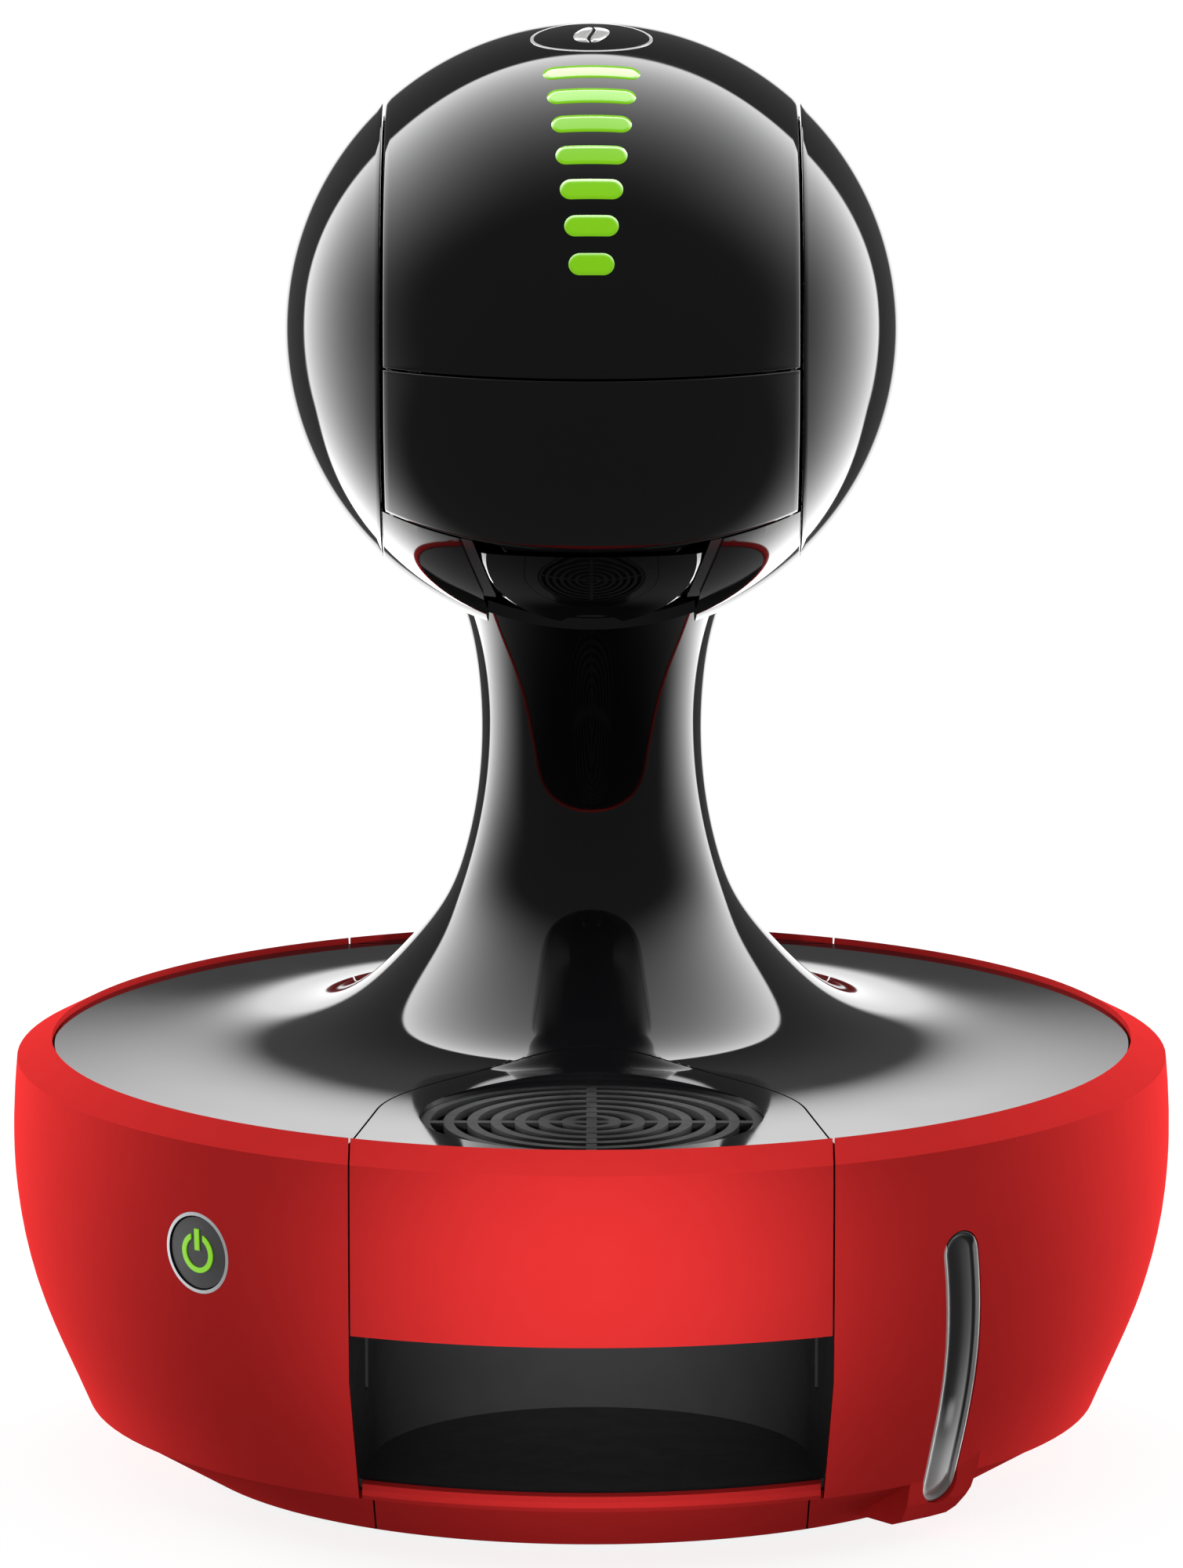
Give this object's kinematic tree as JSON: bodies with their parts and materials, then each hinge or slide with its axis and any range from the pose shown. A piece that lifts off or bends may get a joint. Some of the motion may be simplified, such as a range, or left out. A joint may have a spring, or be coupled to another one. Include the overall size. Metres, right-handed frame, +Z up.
{
  "type": "pod coffee machine",
  "caption": "Capsule coffee maker with a round bowl base, a slim curved neck and a ball head, with a sliding pod holder, a hinged lid, a height-set drip tray and a rear water tank",
  "frame": {"origin": "centre of the round base, on the surface that it stands on", "axes": "+Z up, -Y the front with the tray and the outlet, +X to the right seen from the front"},
  "size_m": [0.252, 0.252, 0.32],
  "materials": {
    "red_shell": "satin soft-touch red",
    "gloss_black": "polished piano black",
    "satin_grey": "satin dark grey",
    "matte_black": "fine matt",
    "button_black": "satin black",
    "bezel_metal": "polished",
    "light_green": "lit green",
    "badge_white": "white inlay",
    "clear": "clear plastic",
    "steel": "brushed",
    "aluminium": "cast",
    "rubber": "matt",
    "board_green": "circuit board",
    "filter_white": "plain moulding"
  },
  "bodies": {
    "machine": {"base_shell": "red_shell", "foot_skirt": "red_shell", "front_foot_panel": "red_shell", "base_pan": "matte_black", "rubber_feet": "rubber", "case_screws": "steel", "tower_housing": "gloss_black", "left_side_cover": "gloss_black", "right_side_cover": "gloss_black", "outlet_surround": "satin_grey", "tower_frame": "steel", "head_chassis": "steel", "hinge_pin": "steel", "injector_bridge": "matte_black", "bay_liner": "matte_black", "guide_rails": "steel", "button_bezel": "bezel_metal", "button_switch": "matte_black", "gauge_window": "clear", "gauge_tube": "clear", "pump": "steel", "pump_mounts": "rubber", "thermoblock": "aluminium", "flow_meter": "filter_white", "control_board": "board_green", "tank_dock": "matte_black", "suction_hose": "rubber", "pump_hose": "rubber", "heater_hose": "rubber", "brew_hose": "rubber", "gauge_hose": "rubber", "mains_inlet": "matte_black"},
    "lid": {"lid_shell": "gloss_black", "lid_liner": "matte_black", "display_board": "board_green", "display_bars": "light_green", "lid_badge": "badge_white"},
    "injector": {"injector_plate": "matte_black", "pierce_needle": "steel", "injector_seal": "rubber"},
    "pod_holder": {"holder_front": "gloss_black", "finger_lip": "satin_grey", "holder_frame": "matte_black", "pod_cup": "matte_black", "outlet_spout": "matte_black", "outlet_bowl": "gloss_black"},
    "carrier": {"tray_carrier": "matte_black"},
    "drip_tray": {"tray_front": "red_shell", "tray_top": "gloss_black", "drip_grid": "matte_black", "drip_bin": "matte_black"},
    "power_button": {"button_cap": "button_black", "power_symbol": "light_green"},
    "tank": {"tank_vessel": "clear", "tank_rear_cover": "red_shell", "tank_grip": "gloss_black", "tank_valve": "matte_black", "tank_filter": "filter_white"}
  },
  "joints": [
    {"name": "lid_hinge", "type": "hinge", "parent": "machine", "child": "lid", "pos_m": [0, -0.02337, 0.28632], "axis": [-1, 0, 0], "range_deg": [0, 50]},
    {"name": "injector_lift", "type": "slide", "parent": "machine", "child": "injector", "axis": [0, 0, 1], "range_m": [0, 0.006]},
    {"name": "pod_holder_slide", "type": "slide", "parent": "machine", "child": "pod_holder", "axis": [0, -1, 0], "range_m": [0, 0.062]},
    {"name": "tray_height", "type": "slide", "parent": "machine", "child": "carrier", "axis": [0, 0, -1], "range_m": [0, 0.032]},
    {"name": "tray_slide", "type": "slide", "parent": "carrier", "child": "drip_tray", "axis": [0, -1, 0], "range_m": [0, 0.095]},
    {"name": "power_press", "type": "slide", "parent": "machine", "child": "power_button", "axis": [0.6587, 0.7524, 0], "range_m": [0, 0.0015], "stiffness_N_per_m": 700, "springref_m": -0.001},
    {"name": "tank_slide", "type": "slide", "parent": "machine", "child": "tank", "axis": [0, 1, 0], "range_m": [0, 0.12]}
  ],
  "couplings": [
    {"joint": "injector_lift", "follows": "lid_hinge", "m_per_rad": 0.0068755}
  ]
}
